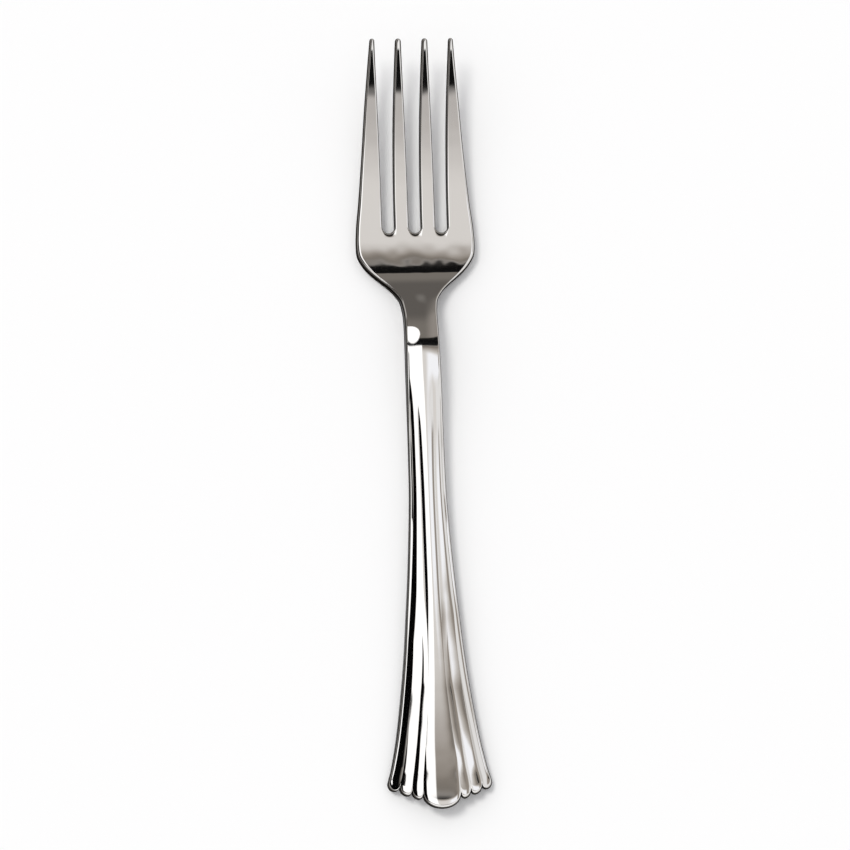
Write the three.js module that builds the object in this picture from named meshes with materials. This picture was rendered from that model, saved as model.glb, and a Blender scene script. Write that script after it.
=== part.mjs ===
// Bright metallised plastic dinner fork, lying face up on Z = 0.
// One polystyrene moulding carries a bright coat, laid from the front and from the back, and the
// two coats meet at the parting line that runs round the edge of the moulding.
// Millimetres: X across the fork, Y toward the tine tips, Z up.

import * as THREE from 'three';

// Lengths along the fork, each after the first starting where the one before it ends
const OVERALL_LENGTH = 178;
const TINE_LENGTH = 44.3;
const PALM_LENGTH = 9.1;
const SHOULDER_LENGTH = 9;
const CREST_LENGTH = 9;
const SHANK_LENGTH = 24;

// Widths across the tips, the head, the neck, the shank and the end of the handle
const TIP_SPAN = 19.6;
const HEAD_WIDTH = 28;
const NECK_WIDTH = 8;
const SHANK_WIDTH = 8.5;
const END_WIDTH = 24.2;
const FAN_SWEEP = 2.1;

// Three slots leave four tines, and each slot opens out toward the tips
const SLOT_PITCH = 6.2;
const SLOT_WIDTH = 2.85;
const TIP_GAP = 4.85;

// Side profile of the front: heights above the lowest point of the palm, at the knee
const TIP_RISE = 8.45;
const CREST_RISE = 4.45;
const TINE_SWEEP = 1.8;
const HANDLE_SWEEP = 2.6;

// Wall thicknesses
const TIP_THICKNESS = 1.2;
const TINE_THICKNESS = 2;
const KNEE_THICKNESS = 3.2;
const NECK_THICKNESS = 4.2;
const HANDLE_THICKNESS = 2.2;

// Cross sections: the palm is dished, the neck is crowned, and the handle is hollow behind, with flat
// lands cut under the edges of its end
const DISH_DEPTH = 0.3;
const NECK_CROWN = 0.5;
const SHANK_HOLLOW = 0.9;
const END_HOLLOW = 3.2;
const LAND_CUT = 0.8;

// Rounded edges, measured across in plan, the share of a tip that may be rounded, and the coat
const TINE_EDGE = 0.45;
const BODY_EDGE = 0.6;
const TIP_EDGE_SHARE = 0.7;
const COAT_THICKNESS = 0.05;

// Grooves on each side of the middle rib, from the middle outward. Their places are shares of the
// half width on the shank and at the end, and fan says how late they spread. Each lies deeper than
// the one before it, like the folds of a fan: their falls are measured from the middle line
const GROOVES = [
  { shank: 0.36, end: 0.335, fan: 3, shankFall: 0.42, endFall: 0.65 },
  { shank: 0.6, end: 0.52, fan: 2.2, shankFall: 0.52, endFall: 1.15 },
  { shank: 0.8, end: 0.765, fan: 1.6, shankFall: 0.92, endFall: 1.95 },
];
const EDGE_FALL = { shankFall: 1.25, endFall: 3.25 };

// How far the side ribs stand up between their grooves, from the middle outward
const BULGES = [
  { onShank: 0.05, atEnd: 0.2 },
  { onShank: 0.04, atEnd: 0.24 },
  { onShank: 0.02, atEnd: 0.11 },
];

// Scalloped end: how far the lobe tips, and the cusps on the outer side of each lobe, stay short of
// the very end, from the middle lobe outward
const LOBE_SETBACKS = [0, 2.3, 3.3, 4.5];
const CUSP_SETBACKS = [3.2, 4, 5.3, 6.5];

// Facets: steps across the middle rib and each side rib, across a tine, and rows along the fork,
// which crowd together toward the tips
const MIDDLE_STEPS = 6;
const RIB_STEPS = 4;
const TINE_STEPS = 3;
const TINE_ROWS = 8;
const TIP_CROWDING = 1.3;
const PALM_ROWS = 3;
const SHOULDER_ROWS = 5;
const CREST_ROWS = 3;
const HANDLE_ROWS = 12;
const EDGE_STEPS = 2;
const PROFILE_STEPS = 200;

const COLUMNS = MIDDLE_STEPS + 2 * GROOVES.length * RIB_STEPS;
const SLOT_CENTRES = [-SLOT_PITCH, 0, SLOT_PITCH];
const TINES = SLOT_CENTRES.length + 1;
const SLOT_STEPS = (COLUMNS - TINES * TINE_STEPS) / SLOT_CENTRES.length;

// Stations count from the tips toward the end of the handle
const SLOT_ARC = TINE_LENGTH - SLOT_WIDTH / 2;
const KNEE = TINE_LENGTH + PALM_LENGTH;
const NECK = KNEE + SHOULDER_LENGTH;
const CREST = NECK + CREST_LENGTH;
const FAN = CREST + SHANK_LENGTH;
const SIDE_END = OVERALL_LENGTH - CUSP_SETBACKS[GROOVES.length];

const { lerp, clamp, smoothstep } = THREE.MathUtils;

// A size that runs smoothly through given values at given stations
function along(points) {
  return (s) => {
    const k = points.findIndex(([station]) => s < station);
    if (k === 0) return points[0][1];
    if (k < 0) return points[points.length - 1][1];
    const [from, to] = [points[k - 1], points[k]];
    return lerp(from[1], to[1], smoothstep(s, from[0], to[0]));
  };
}

const fanShare = (s) => clamp((s - FAN) / (SIDE_END - FAN), 0, 1);
const palmHalf = (s) => lerp(TIP_SPAN, HEAD_WIDTH, Math.min(s / TINE_LENGTH, 1)) / 2;
const drawnIn = along([[KNEE - PALM_LENGTH / 2, 0], [NECK, 1]]);
const stemHalf = along([[NECK, NECK_WIDTH / 2], [FAN, SHANK_WIDTH / 2]]);
const edgeWidth = along([[SLOT_ARC, TINE_EDGE], [KNEE, BODY_EDGE]]);

function halfWidth(s) {
  const handle = lerp(stemHalf(s), END_WIDTH / 2, fanShare(s) ** FAN_SWEEP);
  return lerp(palmHalf(s), handle, drawnIn(s));
}

const thickness = along([
  [0, TIP_THICKNESS],
  [TINE_LENGTH / 2, TINE_THICKNESS],
  [TINE_LENGTH, TINE_THICKNESS],
  [KNEE, KNEE_THICKNESS],
  [NECK, NECK_THICKNESS],
  [FAN, HANDLE_THICKNESS],
]);

// How far a section bends down from its middle to its edges, in front as far as the ribs, and behind
const frontCrown = along([[KNEE, -DISH_DEPTH], [NECK, NECK_CROWN]]);
const backCrown = along([
  [KNEE, -DISH_DEPTH],
  [NECK, 0],
  [FAN, SHANK_HOLLOW],
  [SIDE_END, END_HOLLOW],
]);
const ribbedShare = (s) => smoothstep(s, CREST, FAN);

// Front middle line. The belly under the knee and the flat lands under the end stand on Z = 0
function riseOverKnee(s) {
  if (s < KNEE) return TIP_RISE * (1 - s / KNEE) ** TINE_SWEEP;
  return CREST_RISE * smoothstep(s, KNEE, CREST);
}

function kneeHeight() {
  let lowest = Infinity;
  for (let n = 0; n <= PROFILE_STEPS; n++) {
    const s = (CREST * n) / PROFILE_STEPS;
    lowest = Math.min(lowest, riseOverKnee(s) - thickness(s));
  }
  return -lowest;
}

const KNEE_TOP = kneeHeight();
const CREST_TOP = KNEE_TOP + CREST_RISE;
const END_TOP = HANDLE_THICKNESS + END_HOLLOW - LAND_CUT;

function spine(s) {
  if (s < CREST) return KNEE_TOP + riseOverKnee(s);
  const left = clamp((OVERALL_LENGTH - s) / (OVERALL_LENGTH - CREST), 0, 1);
  return lerp(END_TOP, CREST_TOP, left ** HANDLE_SWEEP);
}

// Which rib a column runs on, counted from the middle, and its place from -1 to 1 across that rib
function ribOf(column) {
  const fromMiddle = Math.abs(column - COLUMNS / 2);
  const middle = MIDDLE_STEPS / 2;
  if (fromMiddle <= middle) return { rib: 0, across: fromMiddle / middle };
  const rib = Math.ceil((fromMiddle - middle) / RIB_STEPS);
  const step = fromMiddle - middle - (rib - 1) * RIB_STEPS;
  return { rib, across: (2 * step) / RIB_STEPS - 1 };
}

function grooveX(k, s) {
  const { shank, end, fan } = GROOVES[k];
  return lerp(shank, end, fanShare(s) ** fan) * halfWidth(s);
}

function ribX(column, s, inset) {
  const { rib, across } = ribOf(column);
  const half = halfWidth(s);
  const outer = rib < GROOVES.length ? grooveX(rib, s) : half;
  const inner = rib > 0 ? grooveX(rib - 1, s) : -outer;
  const x = lerp(inner, outer, (across + 1) / 2);
  return (Math.sign(column - COLUMNS / 2) * x * (half - inset)) / half;
}

// Fall of the ribbed front: the middle rib is crowned, and each side rib bulges over the straight
// line between its two edges
function ribbedFall(column, s) {
  const { rib, across } = ribOf(column);
  const grown = smoothstep(s, FAN, SIDE_END);
  const fallAt = ({ shankFall, endFall }) => lerp(shankFall, endFall, grown);
  const outer = fallAt(rib < GROOVES.length ? GROOVES[rib] : EDGE_FALL);
  if (rib === 0) return outer * across ** 2;
  const { onShank, atEnd } = BULGES[rib - 1];
  const straight = lerp(fallAt(GROOVES[rib - 1]), outer, (across + 1) / 2);
  return straight - lerp(onShank, atEnd, grown) * (1 - across ** 2);
}

function lobeEnd(column) {
  const { rib, across } = ribOf(column);
  const outer = CUSP_SETBACKS[rib];
  const inner = rib > 0 ? CUSP_SETBACKS[rib - 1] : outer;
  const bulge = (inner + outer) / 2 - LOBE_SETBACKS[rib];
  const setback = lerp(inner, outer, (across + 1) / 2) - bulge * Math.sqrt(1 - across ** 2);
  return OVERALL_LENGTH - setback;
}

// The head's bands across: tine, slot, tine, slot, tine, slot, tine
function bandOf(column) {
  const pair = TINE_STEPS + SLOT_STEPS;
  const pairs = Math.min(Math.floor(column / pair), TINES - 1);
  const step = column - pairs * pair;
  if (step <= TINE_STEPS) return { band: 2 * pairs, place: step / TINE_STEPS };
  return { band: 2 * pairs + 1, place: (step - TINE_STEPS) / SLOT_STEPS };
}

const gapHalf = (s) => lerp(SLOT_WIDTH, TIP_GAP, Math.max(1 - s / SLOT_ARC, 0) ** 2) / 2;

function bandEdge(edge, s, inset) {
  if (edge === 0) return inset - halfWidth(s);
  if (edge === 2 * TINES - 1) return halfWidth(s) - inset;
  const side = edge % 2 === 1 ? -1 : 1;
  return SLOT_CENTRES[Math.floor((edge - 1) / 2)] + side * (gapHalf(s) + inset);
}

function bandX(column, s, inset) {
  const { band, place } = bandOf(column);
  return lerp(bandEdge(band, s, inset), bandEdge(band + 1, s, inset), place);
}

function bodyX(column, s, inset) {
  const half = halfWidth(s);
  const head = (bandX(column, TINE_LENGTH, inset) * half) / halfWidth(TINE_LENGTH);
  return lerp(head, ribX(column, s, inset), smoothstep(s, TINE_LENGTH, CREST));
}

// Plan of the tines, of the slot ends and of the rest, drawn in from the outline by a share of the
// rounded edge: 0 on the outline and 1 where the rounding ends
function tinePlan(column, row, share) {
  const { band, place } = bandOf(column);
  const across = 2 * place - 1;
  const roundness = (bandEdge(band + 1, 0, 0) - bandEdge(band, 0, 0)) / 2;
  const inset = share * Math.min(TINE_EDGE, TIP_EDGE_SHARE * roundness);
  const tip = inset + roundness * across ** 4;
  const s = lerp(tip, SLOT_ARC, (row / TINE_ROWS) ** TIP_CROWDING);
  return { x: bandX(column, s, inset), s };
}

function slotPlan(column, share) {
  const { band, place } = bandOf(column);
  const radius = SLOT_WIDTH / 2 + share * TINE_EDGE;
  const angle = Math.PI * place;
  const centre = SLOT_CENTRES[(band - 1) / 2];
  return { x: centre - radius * Math.cos(angle), s: SLOT_ARC + radius * Math.sin(angle) };
}

function evenRows(from, to, count) {
  return Array.from({ length: count }, (_, n) => lerp(from, to, (n + 1) / count));
}

const FIRST_PALM_ROW = TINE_LENGTH + 2 * TINE_EDGE;
const BODY_STATIONS = [
  FIRST_PALM_ROW,
  ...evenRows(FIRST_PALM_ROW, KNEE, PALM_ROWS),
  ...evenRows(KNEE, NECK, SHOULDER_ROWS),
  ...evenRows(NECK, CREST, CREST_ROWS),
];
const LAST_ROW = TINE_ROWS + BODY_STATIONS.length + HANDLE_ROWS;

function bodyPlan(column, row, share) {
  const behind = row - TINE_ROWS - 1;
  if (behind < BODY_STATIONS.length) {
    const s = BODY_STATIONS[behind];
    return { x: bodyX(column, s, share * edgeWidth(s)), s };
  }
  const step = behind - BODY_STATIONS.length + 1;
  const end = lobeEnd(column) - share * BODY_EDGE;
  const s = lerp(CREST, end, step / HANDLE_ROWS);
  return { x: bodyX(column, Math.min(s, SIDE_END), share * BODY_EDGE), s };
}

function plan(column, row, share) {
  if (row > TINE_ROWS) return bodyPlan(column, row, share);
  if (bandOf(column).band % 2 === 1) return slotPlan(column, share);
  return tinePlan(column, row, share);
}

function frontZ(column, { x, s }) {
  const crown = frontCrown(s) * (x / halfWidth(s)) ** 2;
  return spine(s) - lerp(crown, ribbedFall(column, s), ribbedShare(s));
}

function backZ({ x, s }) {
  const across = x / halfWidth(s);
  return Math.max(spine(s) - thickness(s) - backCrown(s) * across ** 2, 0);
}

// The sheet that front and back share: quads between columns and rows, with the slots left out
function sheetQuads() {
  const quads = [];
  for (let row = 0; row < LAST_ROW; row++) {
    for (let column = 0; column < COLUMNS; column++) {
      const inSlot = bandOf(column + 1).band % 2 === 1 || bandOf(column).band % 2 === 1;
      if (row < TINE_ROWS && inSlot) continue;
      const at = (c, r) => r * (COLUMNS + 1) + c;
      quads.push([
        at(column, row + 1),
        at(column + 1, row + 1),
        at(column + 1, row),
        at(column, row),
      ]);
    }
  }
  return quads;
}

// Follows the edges that only one quad uses, once round the outline
function outlineOf(quads) {
  const uses = new Set(quads.flatMap((q) => q.map((v, n) => `${v},${q[(n + 1) % 4]}`)));
  const next = new Map();
  for (const quad of quads) {
    quad.forEach((v, n) => {
      const w = quad[(n + 1) % 4];
      if (!uses.has(`${w},${v}`)) next.set(v, w);
    });
  }
  const first = next.keys().next().value;
  const loop = [first];
  while (next.get(loop[loop.length - 1]) !== first) loop.push(next.get(loop[loop.length - 1]));
  return loop;
}

// The outer skin: points, the quads of its front and back halves, and the parting line between them
function outerSkin() {
  const points = [];
  const put = ({ x, s }, z) => points.push(new THREE.Vector3(x, OVERALL_LENGTH / 2 - s, z)) - 1;
  const quads = sheetQuads();
  const front = new Map();
  const back = new Map();
  const place = (v) => [v % (COLUMNS + 1), Math.floor(v / (COLUMNS + 1))];
  for (const v of quads.flat()) {
    if (front.has(v)) continue;
    const here = plan(...place(v), 1);
    front.set(v, put(here, frontZ(place(v)[0], here)));
    back.set(v, put(here, backZ(here)));
  }
  const halves = {
    front: quads.map((q) => q.map((v) => front.get(v))),
    back: quads.map((q) => q.map((v) => back.get(v)).reverse()),
  };
  const outline = outlineOf(quads);
  const heights = outline.map((v) => [points[front.get(v)].z, points[back.get(v)].z]);
  const ring = (step, half) =>
    outline.map((v, n) => {
      const angle = (Math.PI / 2) * (step / EDGE_STEPS);
      const middle = (heights[n][0] + heights[n][1]) / 2;
      return put(plan(...place(v), 1 - Math.sin(angle)), lerp(middle, heights[n][half], Math.cos(angle)));
    });
  const parting = ring(EDGE_STEPS, 0);
  const bridge = (inner, outer) =>
    inner.map((v, n) => {
      const after = (n + 1) % inner.length;
      return [v, outer[n], outer[after], inner[after]];
    });
  const sides = { front: [front, 0], back: [back, 1] };
  for (const [name, [sheet, half]] of Object.entries(sides)) {
    const rings = [outline.map((v) => sheet.get(v))];
    for (let step = 1; step < EDGE_STEPS; step++) rings.push(ring(step, half));
    rings.push(parting);
    for (let n = 0; n < EDGE_STEPS; n++) {
      const strip = bridge(rings[n], rings[n + 1]);
      halves[name].push(...(half === 0 ? strip : strip.map((q) => q.reverse())));
    }
  }
  return { points, halves, parting };
}

function meshFrom(name, material, points, triangles) {
  const used = [...new Set(triangles.flat())];
  const order = new Map(used.map((v, n) => [v, n]));
  const geometry = new THREE.BufferGeometry();
  geometry.setAttribute(
    'position',
    new THREE.Float32BufferAttribute(used.flatMap((v) => points[v].toArray()), 3),
  );
  geometry.setIndex(triangles.flat().map((v) => order.get(v)));
  geometry.computeVertexNormals();
  const mesh = new THREE.Mesh(geometry, material);
  mesh.name = name;
  return mesh;
}

// Each quad is split along its shorter diagonal, so that left and right come out alike
function split(points, quads) {
  return quads.flatMap(([a, b, c, d]) => {
    const along = points[a].distanceTo(points[c]);
    const other = points[b].distanceTo(points[d]);
    return along <= other ? [[a, b, c], [a, c, d]] : [[b, c, d], [b, d, a]];
  });
}

const turned = (triangles) => triangles.map(([a, b, c]) => [a, c, b]);

// The moulding's skin lies one coat thickness inside the outer skin. Faces that meet at a point
// count there by their angles
function insideSkin(points, triangles) {
  const normals = points.map(() => new THREE.Vector3());
  for (const triangle of triangles) {
    const corners = triangle.map((v) => points[v]);
    const normal = new THREE.Triangle(...corners).getNormal(new THREE.Vector3());
    triangle.forEach((v, n) => {
      const one = corners[(n + 1) % 3].clone().sub(corners[n]);
      const other = corners[(n + 2) % 3].clone().sub(corners[n]);
      normals[v].addScaledVector(normal, one.angleTo(other));
    });
  }
  return points.map((p, v) => p.clone().addScaledVector(normals[v].normalize(), -COAT_THICKNESS));
}

const skin = outerSkin();
const frontFaces = split(skin.points, skin.halves.front);
const backFaces = split(skin.points, skin.halves.back);
const inside = insideSkin(skin.points, [...frontFaces, ...backFaces]);
const layers = [...skin.points, ...inside];
const inward = (v) => v + skin.points.length;
const core = (triangles) => triangles.map((t) => t.map(inward));

// Each coat closes on itself along the parting line
const seam = split(
  layers,
  skin.parting.map((v, n) => {
    const after = skin.parting[(n + 1) % skin.parting.length];
    return [v, inward(v), inward(after), after];
  }),
);

const polystyrene = new THREE.MeshStandardMaterial({ color: 0x9a9c9e, roughness: 0.35, metalness: 0 });
const frontBright = new THREE.MeshStandardMaterial({ color: 0xd6d3d0, roughness: 0.06, metalness: 1 });
const backBright = new THREE.MeshStandardMaterial({ color: 0xd6d3d0, roughness: 0.08, metalness: 1 });

const fork = new THREE.Group();
fork.add(meshFrom('moulded_body', polystyrene, layers, core([...frontFaces, ...backFaces])));
fork.add(meshFrom('bright_coat_front', frontBright, layers, [...frontFaces, ...turned(core(frontFaces)), ...seam]));
fork.add(meshFrom('bright_coat_back', backBright, layers, [...backFaces, ...turned(core(backFaces)), ...turned(seam)]));

export default fork;
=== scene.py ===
# %% [markdown]
# # A bright plastic fork
# The real fork is one moulding of grey polystyrene under a mirror-bright metallic coat. This lesson
# models the coat's front and back and the moulding inside them, gives each its finish, and lights
# them like a studio table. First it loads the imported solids, which fix the size and the place.

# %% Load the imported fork
import math
from bisect import bisect_right

import bpy
from mathutils import Matrix, Vector


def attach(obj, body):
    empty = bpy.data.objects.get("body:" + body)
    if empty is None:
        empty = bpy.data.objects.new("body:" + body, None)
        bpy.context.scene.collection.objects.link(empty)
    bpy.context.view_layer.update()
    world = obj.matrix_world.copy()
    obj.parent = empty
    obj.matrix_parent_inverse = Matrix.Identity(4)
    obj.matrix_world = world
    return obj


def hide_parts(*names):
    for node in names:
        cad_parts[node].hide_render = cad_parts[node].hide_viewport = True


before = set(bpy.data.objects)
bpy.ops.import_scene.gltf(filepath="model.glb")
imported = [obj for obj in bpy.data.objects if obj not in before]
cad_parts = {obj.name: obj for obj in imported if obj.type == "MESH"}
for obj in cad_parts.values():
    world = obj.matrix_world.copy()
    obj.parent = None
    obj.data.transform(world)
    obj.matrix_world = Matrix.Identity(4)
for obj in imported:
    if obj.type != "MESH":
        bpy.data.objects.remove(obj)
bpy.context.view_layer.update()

bpy.ops.object.select_all(action="DESELECT")

# %% [markdown]
# ## The fork's sizes
# Everything is worked out along the fork in stations: millimetres from the tine tips toward the end
# of the handle. A mould maker draws such a part the same way, as a plan, a side profile and a few
# cross sections, so these values are those drawings. They could be typed where they are used, but
# named once they keep the tines, the palm and the handle in step.

# %% Sizes in millimetres
MM = 0.001

# Stations of the handle's end, the slots' ends, the knee, the neck, the crest and the fan's start.
LENGTH = 178
SLOT_END = 44.3
KNEE = 53.4
NECK = 62.9
CREST = 69.4
FAN = 95.4

SLOT_PITCH = 6.2
SLOT_WIDTH = 2.85
TIP_GAP = 4.85
SLOT_CENTRES = (-SLOT_PITCH, 0, SLOT_PITCH)
SLOT_ARC = SLOT_END - SLOT_WIDTH / 2

# How far each lobe of the end, and the cusp outside it, stays behind the middle lobe.
LOBE_SETBACKS = (0, 2.3, 3.3, 4.5)
CUSP_SETBACKS = (3.2, 4, 5.3, 6.5)
SIDE_END = LENGTH - CUSP_SETBACKS[-1]

print("fork of", LENGTH, "mm with slots", SLOT_END, "mm deep")

# %% [markdown]
# ## Profiles that run smoothly
# On the real fork every size runs smoothly into the next, and a mirror would show each kink. A Bezier
# curve could be drawn for each size. Two small functions do that in numbers: one steps smoothly from
# value to value, and one is a spline through points read from the photo.

# %% Smooth profiles
def lerp(low, high, share):
    return low + (high - low) * share


def smoothstep(s, start, end):
    share = min(max((s - start) / (end - start), 0), 1)
    return share * share * (3 - 2 * share)


def along(*points):
    """A size that steps smoothly from each (station, size) point to the next."""
    def size(s):
        if s <= points[0][0]:
            return points[0][1]
        for (start, low), (end, high) in zip(points, points[1:]):
            if s < end:
                return lerp(low, high, smoothstep(s, start, end))
        return points[-1][1]
    return size


def through(*points):
    """A spline through (station, size) points."""
    stations, sizes = zip(*points)
    last = len(points) - 1
    tilts = []
    for i in range(len(points)):
        before, after = max(i - 1, 0), min(i + 1, last)
        tilts.append((sizes[after] - sizes[before]) / (stations[after] - stations[before]))

    def size(s):
        s = min(max(s, stations[0]), stations[-1])
        i = min(bisect_right(stations, s), last) - 1
        span = stations[i + 1] - stations[i]
        t = (s - stations[i]) / span
        step = lerp(sizes[i], sizes[i + 1], t * t * (3 - 2 * t))
        return step + span * t * (1 - t) * (tilts[i] * (1 - t) - tilts[i + 1] * t)
    return size


print("half way up a smooth step:", along((0, 0), (1, 1))(0.5))

# %% [markdown]
# ## Plan, side profile and thickness
# The half width was read from the outline in the photo. The side profile is drawn by its slope, as
# the slope is what a mirror shows: the tines sweep up, the knee turns, the neck climbs to the crest,
# and the handle runs down and flares a little at its end. Adding up the slopes gives the heights.
# Heights could be given instead, but a small error in a height would bend a reflection a lot.

# %% Half width, slope and thickness along the fork
half_width = through(
    (0, 9.72), (14, 10.97), (26, 11.92), (37, 12.97), (SLOT_END, 13.8), (49.3, 13.75),
    (51.4, 12.75), (53.3, 11.22), (55.1, 9.2), (56.7, 7.27), (58.1, 5.9), (60.2, 4.5),
    (62.2, 4.05), (64.5, 3.86), (70, 3.9), (80, 4.05), (97, 4.2), (106, 4.34), (115.5, 4.8),
    (125, 5.42), (134, 6.17), (143.2, 7), (152.4, 8.15), (161.7, 9.6), (168.6, 11.08),
    (SIDE_END, 11.96), (LENGTH, 13.6),
)
slope = through(
    (0, -0.4), (3, -0.305), (6, -0.272), (12.5, -0.228), (30, -0.14), (44, -0.06), (47.5, -0.036),
    (50, -0.02), (KNEE, 0.008), (54.6, 0.08), (57.5, 0.4), (62, 0.44), (66.6, 0.14), (69.6, 0.04),
    (71.5, 0), (74.5, -0.045), (81, -0.07), (100, -0.06), (120, -0.02), (138.6, -0.005),
    (152.4, 0.009), (161.6, 0.02), (170, 0.029), (175.5, 0.039), (LENGTH, 0.048),
)
thickness = along((0, 1.2), (22.7, 2), (SLOT_END, 2), (KNEE, 3.2), (NECK, 4.2), (FAN, 2.2))
dish = along((54, 0.12), (61, 0))
neck_crown = along((57, 0), (NECK, 0.5), (FAN, 0.9))
back_crown = along((57, 0), (FAN, 0.9), (SIDE_END, 3.6))
outer_edge = along(
    (0, 0.58), (14, 0.55), (25, 0.6), (SLOT_END, 0.85), (52, 1), (NECK, 0.65), (75, 0.45),
    (130, 0.5), (SIDE_END, 0.75),
)
slot_edge = along((0, 0.58), (14, 0.45))
END_EDGE = 0.88
HEAD_HALF = 13.9

STEP = 0.1
HAIR = 0.001
climb = [0]
for n in range(round(LENGTH / STEP)):
    climb.append(climb[-1] + slope((n + 0.5) * STEP) * STEP)
ground = min(climb[n] - thickness(n * STEP) for n in range(round(CREST / STEP)))


def front_line(s):
    """Height of the front's middle line over the table."""
    last = len(climb) - 1
    n = min(max(s, 0) / STEP, last - HAIR)
    return lerp(climb[int(n)], climb[int(n) + 1], n % 1) - ground


for s in (0, KNEE, CREST, FAN, LENGTH):
    print("front line at", s, "is", round(front_line(s), 2), "mm high")

# %% [markdown]
# ## The handle's section
# Three grooves each side divide the handle into a broad middle rib and narrower ribs that step down
# to the edge like the folds of a fan. On the shank the ribs are hardly there, and at the end they fall
# by three millimetres from the middle to the edge. A mould maker could cut them with a row of round
# cutters. Here they are drops from the middle line, so they fade into the plain shank without a seam.

# %% Grooves and ribs
# Each groove's place is a share of the half width. Drops and edges are in millimetres.
GROOVES = (
    through(
        (82, 0.43), (94, 0.413), (120, 0.335), (130, 0.3), (139, 0.266), (148, 0.262), (154, 0.285),
        (162, 0.325), (167, 0.35), (SIDE_END, 0.352), (LENGTH, 0.322),
    ),
    through(
        (82, 0.64), (94, 0.62), (120, 0.565), (139, 0.445), (148, 0.455), (153, 0.49), (162, 0.53),
        (SIDE_END, 0.548), (LENGTH, 0.51),
    ),
    through(
        (82, 0.84), (94, 0.837), (120, 0.816), (130, 0.785), (139, 0.742), (148, 0.738),
        (162, 0.757), (SIDE_END, 0.766), (LENGTH, 0.77),
    ),
)
middle_drop = through(
    (74, 0), (82, 0.2), (92, 0.39), (120, 0.43), (130, 0.4), (139, 0.25), (148, 0.2), (157, 0.2),
    (164, 0.29), (170, 0.52), (LENGTH, 0.65),
)
middle_roundness = along((120, 2), (172, 4))
side_drop = through(
    (76, 0.1), (84, 0.35), (92, 0.51), (120, 0.57), (139, 0.55), (150, 0.7), (160, 0.82),
    (170, 1.1), (LENGTH, 1.25),
)
first_fold = along((139, 0.43), (150, 0.52), (160, 0.56))
split_share = along((127, 0), (143, 1))
edge_drop = through(
    (76, 0.15), (92, 0.15), (110, 0.1), (120, 0.1), (130, 0.3), (140, 0.57), (150, 0.72),
    (SIDE_END, 1.1), (LENGTH, 1.15),
)
edge_bulge = along((110, 0), (130, -0.05), (SIDE_END, -0.08))
ribbed_share = along((70, 0), (90, 1))

# The power by which the plain shank falls off, and the share of a fold that falls off evenly.
SHANK_FOLD = 2.6
FOLD_START = 0.15

for k, groove in enumerate(GROOVES):
    print("groove", k, "is", round(groove(SIDE_END) * half_width(SIDE_END), 1), "mm out at the end")

# %% [markdown]
# ## The sheet's columns
# One grid of faces covers the fork. Its columns run the whole length: on the head they divide into
# tines and slots, on the handle into the ribs between the grooves, and they cross over between them.
# They crowd toward the edges of each tine and rib, where the surface turns fastest. A subdivided box
# could be pushed into this form, but its loops wouldn't follow the grooves.

# %% Columns and rows of the sheet
# The tines and slots take as many steps together as the ribs do.
TINE_STEPS = 12
SLOT_STEPS = 20
MIDDLE_STEPS = 24
RIB_STEPS = 14
COLUMNS = MIDDLE_STEPS + 2 * len(GROOVES) * RIB_STEPS
TINES = len(SLOT_CENTRES) + 1
TINE_ROWS = 44
PALM_ROWS = 12
NECK_ROWS = 22
CREST_ROWS = 14
HANDLE_ROWS = 90
PALM_START = SLOT_END + 1.2


def even(start, end, count):
    return [lerp(start, end, (n + 1) / count) for n in range(count)]


BODY_STATIONS = [
    PALM_START,
    *even(PALM_START, KNEE, PALM_ROWS),
    *even(KNEE, NECK, NECK_ROWS),
    *even(NECK, CREST, CREST_ROWS),
]
ROWS = TINE_ROWS + len(BODY_STATIONS) + HANDLE_ROWS


def crowded(across):
    return math.sin(math.pi / 2 * across)


def rib_of(column):
    """The rib that a column runs on, from the middle outward, and its place from -1 to 1 across."""
    out = abs(column - COLUMNS / 2)
    middle = MIDDLE_STEPS / 2
    if out <= middle:
        return 0, crowded(out / middle)
    rib = math.ceil((out - middle) / RIB_STEPS)
    return rib, crowded(2 * ((out - middle) / RIB_STEPS - rib + 1) - 1)


def band_of(column):
    """The tine or slot that a column runs on, even numbers being tines, and its place across."""
    pair = TINE_STEPS + SLOT_STEPS
    tine = min(column // pair, TINES - 1)
    step = column - tine * pair
    if step <= TINE_STEPS:
        return 2 * tine, (1 + crowded(2 * step / TINE_STEPS - 1)) / 2
    return 2 * tine + 1, (step - TINE_STEPS) / SLOT_STEPS


print("sheet of", COLUMNS, "columns and", ROWS, "rows")

# %% [markdown]
# ## Where the columns run
# On the real fork the tines fan out from the slots' round ends, and the grooves fan out toward the end
# of the handle. Each could be a curve of its own. Here every column's place across the fork is worked
# out at any station, so that tines, slots and ribs stay in step with the outline. A share of the rounded
# edge draws the outline in: 1 is where the flat of the front begins, 0 is the outline itself.

# %% Places across the fork
def gap_half(s):
    return lerp(SLOT_WIDTH, TIP_GAP, max(1 - s / SLOT_ARC, 0) ** 2) / 2


def groove_x(k, s):
    return GROOVES[k](s) * half_width(s)


def rib_x(column, s, inset):
    """Place across a rib, out from the middle line."""
    rib, across = rib_of(column)
    outer = groove_x(rib, s) if rib < len(GROOVES) else half_width(s) - inset
    inner = groove_x(rib - 1, s) if rib > 0 else -outer
    return lerp(inner, outer, (across + 1) / 2)


def band_edge(edge, s, share):
    if edge == 0:
        return share * outer_edge(s) - half_width(s)
    if edge == 2 * TINES - 1:
        return half_width(s) - share * outer_edge(s)
    side = -1 if edge % 2 else 1
    return SLOT_CENTRES[(edge - 1) // 2] + side * (gap_half(s) + share * slot_edge(s))


def band_x(column, s, share):
    band, place = band_of(column)
    return lerp(band_edge(band, s, share), band_edge(band + 1, s, share), place)


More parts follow.
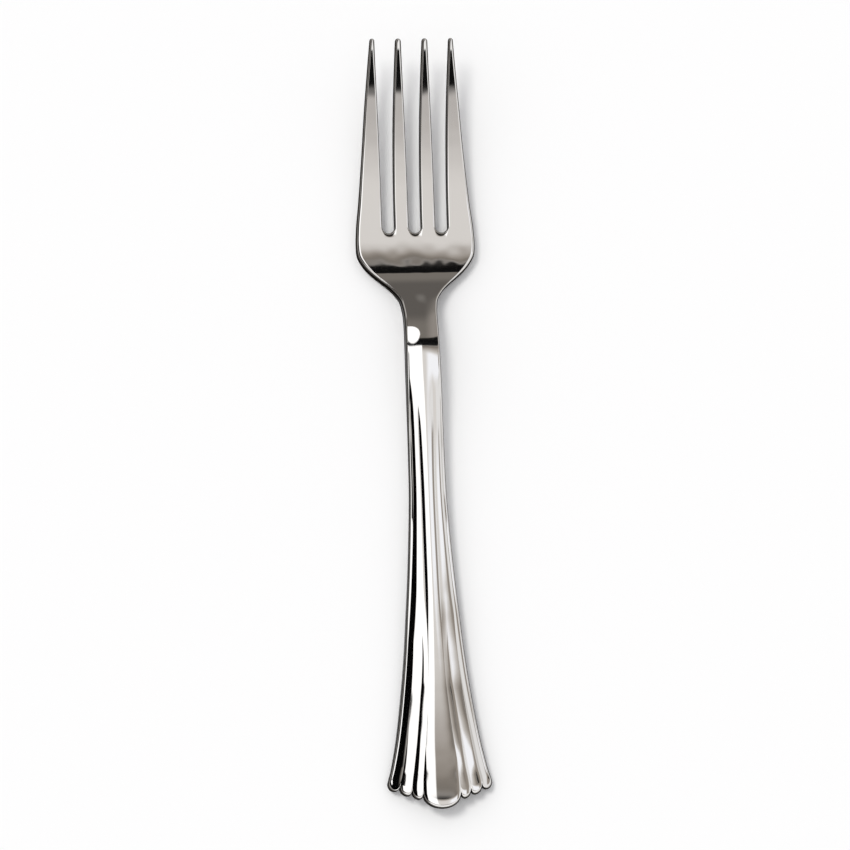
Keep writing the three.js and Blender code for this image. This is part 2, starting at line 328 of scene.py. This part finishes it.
def body_x(column, s, share):
    inset = share * outer_edge(s)
    head = band_x(column, SLOT_END, 0) * (half_width(s) - inset) / half_width(SLOT_END)
    handle = math.copysign(rib_x(column, s, inset), column - COLUMNS / 2)
    return lerp(head, handle, smoothstep(s, SLOT_END, CREST))


print("tips at", [round(band_edge(edge, 0, 0), 2) for edge in range(2 * TINES)], "mm across")

# %% [markdown]
# ## Plan of the sheet
# Seen from above, the fork has round tips, slots with round ends, and a handle whose ribs end in one
# lobe each. The lobes could be cut with curves. Here each column ends at its own station, so the lobes
# are part of the same sheet and the ribs run out into them without a seam.

# %% Tips, slots and lobes
# Rows crowd toward the tips by a power, and the tips stay a hair inside the fork's length.
TIP_CROWDING = 1.5
TIP_BACK = 0.01


def lobe_end(column):
    rib, across = rib_of(column)
    outer = CUSP_SETBACKS[rib]
    inner = CUSP_SETBACKS[rib - 1] if rib > 0 else outer
    bulge = (inner + outer) / 2 - LOBE_SETBACKS[rib]
    setback = lerp(inner, outer, (across + 1) / 2) - bulge * math.sqrt(max(1 - across**2, 0))
    return LENGTH - setback


def tine_plan(column, row, share):
    band, place = band_of(column)
    across = 2 * place - 1
    tip_half = (band_edge(band + 1, 0, 0) - band_edge(band, 0, 0)) / 2
    run = (row / TINE_ROWS) ** TIP_CROWDING
    tip = TIP_BACK + share * outer_edge(0) + tip_half * (1 - math.sqrt(max(1 - across**2, 0)))
    s = lerp(tip, SLOT_ARC, run)
    return band_x(column, s, share), s


def slot_plan(column, share):
    band, place = band_of(column)
    radius = SLOT_WIDTH / 2 + share * slot_edge(SLOT_ARC)
    angle = math.pi * place
    centre = SLOT_CENTRES[(band - 1) // 2]
    return centre - radius * math.cos(angle), SLOT_ARC + radius * math.sin(angle)


def body_plan(column, row, share):
    behind = row - TINE_ROWS - 1
    if behind < len(BODY_STATIONS):
        s = BODY_STATIONS[behind]
        return body_x(column, s, share), s
    step = behind - len(BODY_STATIONS) + 1
    end = lobe_end(column) - share * END_EDGE
    s = lerp(CREST, end, step / HANDLE_ROWS)
    return body_x(column, s, share), s


def plan(column, row, share):
    """Place across and station, drawn in from the outline by a share of the rounded edge."""
    if row > TINE_ROWS:
        return body_plan(column, row, share)
    if band_of(column)[0] % 2:
        return slot_plan(column, share)
    return tine_plan(column, row, share)


print("the middle lobe ends at", lobe_end(COLUMNS // 2), "and the outer ones at", lobe_end(COLUMNS))

# %% [markdown]
# ## Heights
# The front's height is the side profile, with the palm a little dished and the handle's ribs stepping
# down to both sides. The back is smooth and crowned. Heights could be sculpted, but a mirror needs them
# exact, so they are worked out from the profiles.

# %% Heights of the front and back
def ribbed_drop(column, s):
    """Fall of the ribbed front from the middle line."""
    rib, across = rib_of(column)
    middle = middle_drop(s)
    if rib == 0:
        return middle * abs(across) ** middle_roundness(s)
    place = (across + 1) / 2
    if rib == len(GROOVES):
        return middle + side_drop(s) + edge_drop(s) * place - edge_bulge(s) * (1 - across**2)
    inner, outer = groove_x(0, s), groove_x(2, s)
    share = (rib_x(column, s, 0) - inner) / (outer - inner)
    bend = FOLD_START * place + (1 - FOLD_START) * place**2
    fold = first_fold(s) * bend if rib == 1 else lerp(first_fold(s), 1, bend)
    return middle + side_drop(s) * lerp(share**SHANK_FOLD, fold, split_share(s))


def dish_rise(x, s):
    return dish(s) * (x / HEAD_HALF) ** 2


def front_height(column, x, s):
    crown = neck_crown(s) * (x / half_width(s)) ** 2
    drop = crown if s < CREST else lerp(crown, ribbed_drop(column, s), ribbed_share(s))
    return front_line(s) + dish_rise(x, s) - drop


def back_height(column, x, s):
    crown = back_crown(s) * (x / half_width(s)) ** 2
    return max(front_line(s) - thickness(s) + dish_rise(x, s) - crown, 0)


print("the front's outer rib ends", round(front_height(COLUMNS, half_width(SIDE_END), SIDE_END), 2), "mm up")

# %% [markdown]
# ## A blank sheet
# The real fork is moulded, but its skin can be made as a silversmith makes a fork, from a flat blank.
# Cutting the slots with a Boolean would leave long thin faces that spoil a mirror. So a grid is added
# and its faces over the slots are deleted, and each point keeps its column and row, by which it is sent
# to its place later.

# %% Cut the blank
def cut_blank(name):
    bpy.ops.object.select_all(action="DESELECT")
    bpy.ops.mesh.primitive_grid_add(x_subdivisions=COLUMNS, y_subdivisions=ROWS, size=1)
    blank = bpy.context.object
    blank.name = blank.data.name = name
    mesh = blank.data
    mesh.attributes.new("column", "INT", "POINT")
    mesh.attributes.new("row", "INT", "POINT")
    for vertex in mesh.vertices:
        mesh.attributes["column"].data[vertex.index].value = round((vertex.co.x + 0.5) * COLUMNS)
        mesh.attributes["row"].data[vertex.index].value = round((0.5 - vertex.co.y) * ROWS)
    bpy.ops.object.mode_set(mode="EDIT")
    bpy.ops.mesh.select_mode(type="FACE")
    bpy.ops.mesh.select_all(action="DESELECT")
    bpy.ops.object.mode_set(mode="OBJECT")
    for face in mesh.polygons:
        column = int((face.center.x + 0.5) * COLUMNS)
        row = int((0.5 - face.center.y) * ROWS)
        face.select = row < TINE_ROWS and column % (TINE_STEPS + SLOT_STEPS) >= TINE_STEPS
    bpy.ops.object.mode_set(mode="EDIT")
    bpy.ops.mesh.delete(type="FACE")
    bpy.ops.object.mode_set(mode="OBJECT")
    print(name, "cut with", len(mesh.polygons), "faces")
    return blank


# %% [markdown]
# ## Rounded edges
# The mould's edges are rounded, which gives the bright line beside the dark wall all round the fork. A
# Bevel could round them, but it would pinch at the cusps between the lobes. So the sheet's border is
# extruded ring by ring, each ring sent a step further round a quarter circle, and a last one down the
# wall to the parting line.

# %% Send points to their places
# The wall's draft as a share of the rounded edge, and the largest radius as a share of the thickness.
DRAFT = 0.05
ROUND_LIMIT = 0.45


def settle(blank, share, height_of, chosen_only):
    mesh = blank.data
    columns = mesh.attributes["column"].data
    rows = mesh.attributes["row"].data
    for vertex in mesh.vertices:
        if chosen_only and not vertex.select:
            continue
        column = columns[vertex.index].value
        row = rows[vertex.index].value
        x, s = plan(column, row, share)
        vertex.co = Vector((x, LENGTH / 2 - s, height_of(column, row, x, s))) * MM


def edge_height(side, turn):
    """Height on the edge: a quarter round from the sheet, or the parting line when turn is None."""
    def height_of(column, row, x, s):
        sheet_x, sheet_s = plan(column, row, 1)
        front = front_height(column, sheet_x, sheet_s)
        back = back_height(column, sheet_x, sheet_s)
        middle = (front + back) / 2
        if turn is None:
            return middle
        outside = row > TINE_ROWS or column in (0, COLUMNS)
        edge = outer_edge(sheet_s) if outside else slot_edge(sheet_s)
        radius = min(edge, ROUND_LIMIT * (front - back))
        fall = radius * (1 - math.cos(turn))
        return front - fall if side == "front" else back + fall
    return height_of


# %% [markdown]
# ## The two halves of the coat
# The coat is laid on from in front and from behind, and the halves meet at the parting line of the mould.
# One closed skin could be split afterwards, but two sheets that share one plan meet exactly.

# %% Form one half of the skin
EDGE_RINGS = 8


def form_half(name, side):
    blank = cut_blank(name)
    sheet_height = front_height if side == "front" else back_height
    settle(blank, 1, lambda column, row, x, s: sheet_height(column, x, s), False)
    bpy.ops.object.mode_set(mode="EDIT")
    bpy.ops.mesh.select_mode(type="EDGE")
    bpy.ops.mesh.select_all(action="DESELECT")
    bpy.ops.mesh.select_non_manifold(use_wire=False, use_multi_face=False, use_non_contiguous=False)
    for ring in range(1, EDGE_RINGS + 2):
        bpy.ops.mesh.extrude_edges_move()
        bpy.ops.object.mode_set(mode="OBJECT")
        if ring > EDGE_RINGS:
            settle(blank, 0, edge_height(side, None), True)
        else:
            turn = math.pi / 2 * ring / EDGE_RINGS
            settle(blank, 1 - (1 - DRAFT) * math.sin(turn), edge_height(side, turn), True)
        bpy.ops.object.mode_set(mode="EDIT")
    bpy.ops.mesh.select_all(action="SELECT")
    if side == "back":
        bpy.ops.mesh.flip_normals()
    bpy.ops.object.mode_set(mode="OBJECT")
    bpy.ops.object.shade_smooth()
    print(name, len(blank.data.polygons), "faces")
    return blank


coat_front = form_half("mirror_coat_front", "front")
coat_back = form_half("mirror_coat_back", "back")

# %% [markdown]
# ## The moulding inside
# Under the coat is the fork itself, one piece of polystyrene. It could be modelled again, but it fills
# the coat exactly, so it starts as a copy of both halves. They are joined, their parting lines merged,
# and a Displace modifier sinks the whole skin by the thickness of the coat.

# %% Make the moulding
# Thickness of the coat, and the distance within which two points of the parting line are one.
COAT = 0.05
MERGE = 0.001


def apply_modifier(piece, kind, **settings):
    bpy.ops.object.select_all(action="DESELECT")
    piece.select_set(True)
    bpy.context.view_layer.objects.active = piece
    modifier = piece.modifiers.new(kind.lower(), kind)
    for name, value in settings.items():
        setattr(modifier, name, value)
    bpy.ops.object.modifier_apply(modifier=modifier.name)


bpy.ops.object.select_all(action="DESELECT")
coat_front.select_set(True)
coat_back.select_set(True)
bpy.ops.object.duplicate()
moulding = bpy.context.selected_objects[0]
bpy.context.view_layer.objects.active = moulding
bpy.ops.object.join()
moulding.name = moulding.data.name = "polystyrene_moulding"
bpy.ops.object.mode_set(mode="EDIT")
bpy.ops.mesh.select_all(action="SELECT")
bpy.ops.mesh.remove_doubles(threshold=MERGE * MM)
bpy.ops.object.mode_set(mode="OBJECT")
apply_modifier(moulding, "DISPLACE", strength=-COAT * MM, mid_level=0)
print("moulding:", len(moulding.data.polygons), "faces")

# %% [markdown]
# ## The coat's thickness
# The real coat is thinner than a hair. Each half could stay a sheet, but as a part it has to be a
# closed body, so Solidify gives it a thickness. It grows inward, and the outside stays where the plan
# put it.

# %% Thicken the coat
for coat in (coat_front, coat_back):
    apply_modifier(coat, "SOLIDIFY", thickness=COAT * MM, offset=-1, use_even_offset=False)
    print(coat.name, len(coat.data.polygons), "faces")

# %% [markdown]
# ## Finishes
# A finish is a small graph of nodes. It could be drawn by hand in the Shader Editor. Here one small
# function adds a node with its settings and links, so the whole graph can be read and run again. Each
# colour is an sRGB hex value, as a colour picker shows it, and is turned to linear light once.

# %% Node and colour helpers
def linear(hex_colour):
    channels = [int(hex_colour[i:i + 2], 16) / 255 for i in (1, 3, 5)]
    curve = [c / 12.92 if c <= 0.04045 else ((c + 0.055) / 1.055) ** 2.4 for c in channels]
    return (*curve, 1)


def add_node(tree, kind, inputs=None, **settings):
    node = tree.nodes.new(kind)
    for name, value in settings.items():
        setattr(node, name, value)
    for socket, value in (inputs or {}).items():
        if isinstance(value, bpy.types.NodeSocket):
            tree.links.new(value, node.inputs[socket])
        else:
            node.inputs[socket].default_value = value
    return node


def new_material(name):
    material = bpy.data.materials.new(name)
    material.use_nodes = True
    material.node_tree.nodes.clear()
    return material, material.node_tree


print("middle grey in linear light:", [round(channel, 3) for channel in linear("#808080")])

# %% [markdown]
# ## The bright coat
# On the real fork this is aluminium, deposited in a vacuum on the lacquered moulding and lacquered
# again. It could be a plain perfect mirror, but three things are added. The plastic sinks a little as
# it cools, most at the thick palm and knee, so straight reflections waver there. The lacquer leaves a
# faint haze. And the steep walls are painted darker, a painted shade that draws a dark line round the
# fork. The vapour comes from in front and from behind and leaves a thinner coat there, but the dark
# line itself is painted.

# %% Vacuum-metallised aluminium
RIPPLE = 6
RIPPLE_DEPTH = 0.1
HEAD_SPAN = (20, 32)
HANDLE_RIPPLE = 0.06
HEAD_RIPPLE = 0.35
HAZE = 14
HAZE_ROUGHNESS = (0.02, 0.05)
WALL_TILT = (0.84, 0.66)

bright, tree = new_material("vacuum_metallised_aluminium_under_lacquer")
spot = add_node(tree, "ShaderNodeTexCoord").outputs
place = add_node(tree, "ShaderNodeSeparateXYZ", {"Vector": spot["Object"]}).outputs
facing = add_node(tree, "ShaderNodeSeparateXYZ", {"Vector": spot["Normal"]}).outputs

# Sink marks are a few micrometres deep. They are drawn deeper, so that they show in the reflections.
ripple = add_node(
    tree, "ShaderNodeTexNoise", {"Vector": spot["Object"], "Scale": 1 / (RIPPLE * MM), "Detail": 1}
)
sink = add_node(
    tree,
    "ShaderNodeMapRange",
    {
        "Value": place["Y"],
        "From Min": HEAD_SPAN[0] * MM,
        "From Max": HEAD_SPAN[1] * MM,
        "To Min": HANDLE_RIPPLE,
        "To Max": HEAD_RIPPLE,
    },
)
bump = add_node(
    tree,
    "ShaderNodeBump",
    {
        "Height": ripple.outputs["Fac"],
        "Strength": sink.outputs["Result"],
        "Distance": RIPPLE_DEPTH * MM,
    },
)

# The haze varies over a centimetre or so, and softens the edge of a reflection without dulling it.
haze = add_node(
    tree, "ShaderNodeTexNoise", {"Vector": spot["Object"], "Scale": 1 / (HAZE * MM), "Detail": 4}
)
rough = add_node(
    tree,
    "ShaderNodeMapRange",
    {"Value": haze.outputs["Fac"], "To Min": HAZE_ROUGHNESS[0], "To Max": HAZE_ROUGHNESS[1]},
)

# Painted shade: the coat is drawn dark where the surface turns steep, away from up or down,
# which paints the dark line round the fork.
upness = add_node(tree, "ShaderNodeMath", {0: facing["Z"]}, operation="ABSOLUTE")
painted_wall_shade = add_node(
    tree,
    "ShaderNodeMapRange",
    {"Value": upness.outputs["Value"], "From Min": WALL_TILT[0], "From Max": WALL_TILT[1]},
    interpolation_type="SMOOTHSTEP",
)
# Bright metal on the flat, and a painted dark shade on the steep walls.
coat_colour_and_painted_shade = add_node(
    tree,
    "ShaderNodeMix",
    {"Factor": painted_wall_shade.outputs["Result"], "A": linear("#dddbd9"), "B": linear("#45423f")},
    data_type="RGBA",
)
# The edge tint also goes dark on the steep walls, as part of the same painted shade.
edge_tint_and_painted_shade = add_node(
    tree,
    "ShaderNodeMix",
    {"Factor": painted_wall_shade.outputs["Result"], "A": linear("#ffffff"), "B": linear("#020202")},
    data_type="RGBA",
)
shader = add_node(
    tree,
    "ShaderNodeBsdfPrincipled",
    {
        "Base Color": coat_colour_and_painted_shade.outputs["Result"],
        "Specular Tint": edge_tint_and_painted_shade.outputs["Result"],
        "Metallic": 1,
        "Roughness": rough.outputs["Result"],
        "Normal": bump.outputs["Normal"],
    },
)
add_node(tree, "ShaderNodeOutputMaterial", {"Surface": shader.outputs["BSDF"]})
print(bright.name, "has", len(tree.nodes), "nodes")

# %% [markdown]
# ## The grey plastic
# The moulding is plain grey polystyrene, which the coat hides on a new fork. It could do with any
# material, but a worn or cut part would show it, so it gets its own: a gloss from the polished mould
# and faint clouds where the melt flowed.

# %% Moulded polystyrene
FLOW = 9
POLYSTYRENE_IOR = 1.59
MOULD_GLOSS = 0.35

# The eye sees a soft plastic sheen on a grey that isn't quite even.
grey_plastic, tree = new_material("moulded_grey_polystyrene")
spot = add_node(tree, "ShaderNodeTexCoord").outputs
flow = add_node(
    tree, "ShaderNodeTexNoise", {"Vector": spot["Object"], "Scale": 1 / (FLOW * MM), "Detail": 3}
)
clouds = add_node(
    tree,
    "ShaderNodeMix",
    {"Factor": flow.outputs["Fac"], "A": linear("#8f9193"), "B": linear("#a2a4a6")},
    data_type="RGBA",
)
shader = add_node(
    tree,
    "ShaderNodeBsdfPrincipled",
    {"Base Color": clouds.outputs["Result"], "Roughness": MOULD_GLOSS, "IOR": POLYSTYRENE_IOR},
)
add_node(tree, "ShaderNodeOutputMaterial", {"Surface": shader.outputs["BSDF"]})
print(grey_plastic.name, "has", len(tree.nodes), "nodes")

# %% [markdown]
# ## Dressing the pieces
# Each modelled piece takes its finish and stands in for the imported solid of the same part. The solids
# could be shown as they are, but their flat facets would break up every reflection.

# %% Dress the pieces
for piece, node, slot, material in (
    (coat_front, "bright_coat_front", "bright_metallising", bright),
    (coat_back, "bright_coat_back", "bright_metallising", bright),
    (moulding, "moulded_body", "polystyrene", grey_plastic),
):
    piece.data.materials.clear()
    piece.data.materials.append(material)
    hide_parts(node)
    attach(piece, "root")
    print(piece.name, "stands for", node)

# %% [markdown]
# ## The table
# The fork lies on white paper. A matt sheet takes the fork's soft shadow and nothing else. It could be
# left to the world's colour, but then the fork would float.

# %% White paper
FLOOR_SIZE = 6

bpy.ops.object.select_all(action="DESELECT")
bpy.ops.mesh.primitive_plane_add(size=FLOOR_SIZE)
floor = bpy.context.object
floor.name = "floor"
paper, tree = new_material("white_paper_sweep")
shader = add_node(tree, "ShaderNodeBsdfDiffuse", {"Color": linear("#fafafa")})
add_node(tree, "ShaderNodeOutputMaterial", {"Surface": shader.outputs["BSDF"]})
floor.data.materials.append(paper)
print("floor of", FLOOR_SIZE, "m")

# %% [markdown]
# ## Directions in the studio
# A mirror has hardly any look of its own: what shows its shape is the studio that it reflects. The
# studio could be built from lamps and boards round the table. Here it is painted on the world, by the
# direction that a reflection goes in, so that no board hides the camera or shades the fork. A direction
# has a part across the fork, a part along it and a part up. Slanted edges, the way to a small round
# lamp and the way to the main light are worked out from these.

# %% Ways to measure a direction
KEY = Vector((-0.42, 0.28, 0.86)).normalized()
SLANT = 0.35
LAMP_PLACE = (-0.19, 0.305)
LAMP_REACH = (0.25, 0.1)

world = bpy.data.worlds.new("studio")
bpy.context.scene.world = world
world.use_nodes = True
tree = world.node_tree
tree.nodes.clear()
direction = add_node(tree, "ShaderNodeTexCoord").outputs["Generated"]
parts = add_node(tree, "ShaderNodeSeparateXYZ", {"Vector": direction}).outputs
ways = {"across": parts["X"], "along": parts["Y"], "up": parts["Z"]}
for name, share in (("slant", SLANT), ("counter_slant", -SLANT)):
    slanted = add_node(
        tree, "ShaderNodeMath", {0: parts["X"], 1: share, 2: parts["Y"]}, operation="MULTIPLY_ADD"
    )
    ways[name] = slanted.outputs["Value"]
lamp_scale = (1 / LAMP_REACH[0], 1 / LAMP_REACH[1], 0)
lamp_shift = (-LAMP_PLACE[0] / LAMP_REACH[0], -LAMP_PLACE[1] / LAMP_REACH[1], 0)
lamp_way = add_node(
    tree,
    "ShaderNodeVectorMath",
    {0: direction, 1: lamp_scale, 2: lamp_shift},
    operation="MULTIPLY_ADD",
)
lamp_far = add_node(
    tree, "ShaderNodeVectorMath", {0: lamp_way.outputs["Vector"]}, operation="LENGTH"
)
ways["from_lamp"] = lamp_far.outputs["Value"]
key_near = add_node(tree, "ShaderNodeVectorMath", {0: direction, 1: KEY}, operation="DOT_PRODUCT")
ways["toward_key"] = key_near.outputs["Value"]
print("ways:", ", ".join(ways))

# %% [markdown]
# ## Boards and lights
# Each board has a colour, a strength and soft edges. An edge names a way, where the board starts and
# where it is full. A later board hangs in front of an earlier one, as in a real studio, so the list
# runs from the walls to the lights.

# %% Boards of the studio
DARK_ROOM = "#121212"
BOARDS = (
    # A dark wall beyond the tines, which the neck shows, paler higher up and on its right side.
    ("#6a6662", 1, (("along", 0.245, 0.255),)),
    ("#847f79", 1, (("along", 0.245, 0.255), ("along", 0.75, 0.4))),
    ("#a29c96", 1, (("across", 0.2, 0.5), ("along", 0.245, 0.255), ("along", 0.97, 0.6))),
    # A grey ceiling over the tines, cut on a slant at both sides, and a white one over the palm.
    ("#cfcbc8", 1, (("slant", -0.163, -0.128), ("along", 0.185, 0.175))),
    ("#cfcbc8", 1, (("counter_slant", -0.268, -0.233), ("along", 0.185, 0.175))),
    ("#f3f0ed", 1, (("along", -0.17, 0), ("along", 0.185, 0.175))),
    # The ceiling's brown rim, which shades the palm toward the knee.
    ("#a39b92", 1, (("along", 0.125, 0.175), ("along", 0.185, 0.175))),
    ("#6f6a64", 1, (("along", 0.16, 0.187), ("along", 0.185, 0.175))),
    # A cool window on the right in a brown frame, and a white wall in front of it.
    ("#f4f6fb", 1.35, (("across", 0.18, 0.32), ("along", 0.02, 0.06), ("along", 0.145, 0.12))),
    ("#a39b92", 1, (("across", 0.6, 0.7), ("along", 0.02, 0.06), ("along", 0.5, 0.3))),
    ("#ffffff", 1, (("across", 0.4, 0.5), ("along", 0.06, 0.02))),
    # A light beyond the handle, which the swept tips catch.
    ("#ffffff", 1.2, (("along", -0.33, -0.36),)),
    # A grey horizon that pales toward the table, for a look from low down.
    ("#bcb9b5", 1, (("up", 0.5, 0.4),)),
    ("#f2f0ee", 1, (("up", 0.4, 0.04),)),
    # White paper on the far right, a pale board in each back corner and a black one on the left.
    ("#ffffff", 1, (("across", 0.77, 0.84), ("up", 0.22, 0.3))),
    ("#c9c6c2", 1, (("across", 0.5, 0.62), ("along", 0.55, 0.68))),
    ("#c9c6c2", 1, (("across", -0.25, -0.4), ("along", 0.5, 0.65))),
    (
        "#050505",
        1,
        (("across", -0.4, -0.44), ("along", -0.45, -0.35), ("along", 0.62, 0.5), ("up", 0.46, 0.54)),
    ),
    # The large soft box on the left, and the small round lamp that glints on the crest.
    (
        "#ffffff",
        1.5,
        (("across", 0.118, 0.09), ("across", -0.44, -0.4), ("slant", -0.163, -0.128), ("along", 0.19, 0.18)),
    ),
    ("#ffffff", 1.5, (("from_lamp", 1.04, 0.96),)),
)


def hang_boards(room, boards):
    """The colour that each direction shows, from the room to the board that hangs in front."""
    for colour, strength, edges in boards:
        mask = 1
        for way, start, full in edges:
            edge = add_node(
                tree,
                "ShaderNodeMapRange",
                {"Value": ways[way], "From Min": start, "From Max": full},
                interpolation_type="SMOOTHSTEP",
            )
            covered = add_node(
                tree, "ShaderNodeMath", {0: mask, 1: edge.outputs["Result"]}, operation="MULTIPLY"
            )
            mask = covered.outputs["Value"]
        light = [channel * strength for channel in linear(colour)]
        layer = add_node(
            tree, "ShaderNodeMix", {"Factor": mask, "A": room, "B": light}, data_type="RGBA"
        )
        room = layer.outputs["Result"]
    return room


reflected = hang_boards(linear(DARK_ROOM), BOARDS)
print(len(BOARDS), "boards hung")

# %% [markdown]
# ## The light that falls on the table
# The boards are for the eye, in the mirror and behind the fork. What lights the paper is plainer: a
# broad soft light round one high direction on the left, with some light from everywhere, which gives
# the soft shadow on the right. Light Path tells the two apart.

# %% Soft light and world
SHADE = "#aaaaaa"
SOFT_LIGHT = (("#fdfdff", 1, (("toward_key", 0.2, 0.95),)),)

falling = hang_boards(linear(SHADE), SOFT_LIGHT)
ray = add_node(tree, "ShaderNodeLightPath").outputs
seen = ray["Is Camera Ray"]
for kind in ("Is Glossy Ray", "Is Transmission Ray"):
    either = add_node(tree, "ShaderNodeMath", {0: seen, 1: ray[kind]}, operation="MAXIMUM")
    seen = either.outputs["Value"]
light = add_node(
    tree, "ShaderNodeMix", {"Factor": seen, "A": falling, "B": reflected}, data_type="RGBA"
)
background = add_node(
    tree, "ShaderNodeBackground", {"Color": light.outputs["Result"], "Strength": 1}
)
add_node(tree, "ShaderNodeOutputWorld", {"Surface": background.outputs["Background"]})
print("world has", len(tree.nodes), "nodes")

# %% [markdown]
# ## The main light
# A sun lamp stands for the middle of the soft light. Its angle sets how soft the shadow's edge is. It
# could show in the mirror as a disc, but the soft box above is what the fork shows, so the lamp is
# hidden from reflections.

# %% Key lamp
KEY_STRENGTH = 1.15
KEY_SPREAD = math.radians(18)

bpy.ops.object.light_add(type="SUN", rotation=KEY.to_track_quat("Z", "Y").to_euler())
key = bpy.context.object
key.data.energy = KEY_STRENGTH
key.data.color = linear("#fffefb")[:3]
key.data.angle = KEY_SPREAD
key.visible_glossy = False
print("key lamp", round(math.degrees(math.asin(KEY.z))), "degrees up")

# %% [markdown]
# ## The camera
# The photo looks down on the fork from high up, a little from the left and from the handle's end, and
# the fork leans a little in the frame. The camera could be turned by eye. It is worked out instead
# from the viewing direction, the lean, the size of a pixel on the table and the pixel at which one
# known point is seen.

# %% Camera
VIEW = Vector((-0.15, -0.177, 0.973)).normalized()
ROLL = math.radians(-2.68)
DISTANCE = 1.2
PIXEL = 0.2291
PIXELS = 850
SENSOR = 36
AIM = Vector((0, 0, 5)) * MM
AIM_PIXEL = (425.2, 421.6)

upright = (Vector((0, 1, 0)) - VIEW * VIEW.y).normalized()
level = upright.cross(VIEW)
right = level * math.cos(ROLL) + upright * math.sin(ROLL)
up = upright * math.cos(ROLL) - level * math.sin(ROLL)
aside = (PIXELS / 2 - AIM_PIXEL[0]) * PIXEL * MM
below = (PIXELS / 2 - AIM_PIXEL[1]) * PIXEL * MM
middle = AIM + right * aside - up * below
bpy.ops.object.camera_add(location=middle + VIEW * DISTANCE)
camera = bpy.context.object
camera.rotation_euler = Matrix((right, up, VIEW)).transposed().to_euler()
camera.data.sensor_width = SENSOR
camera.data.lens = SENSOR * DISTANCE / (PIXELS * PIXEL * MM)
bpy.context.scene.camera = camera
bpy.context.scene.view_settings.view_transform = "Standard"
print("camera lens", round(camera.data.lens), "mm")
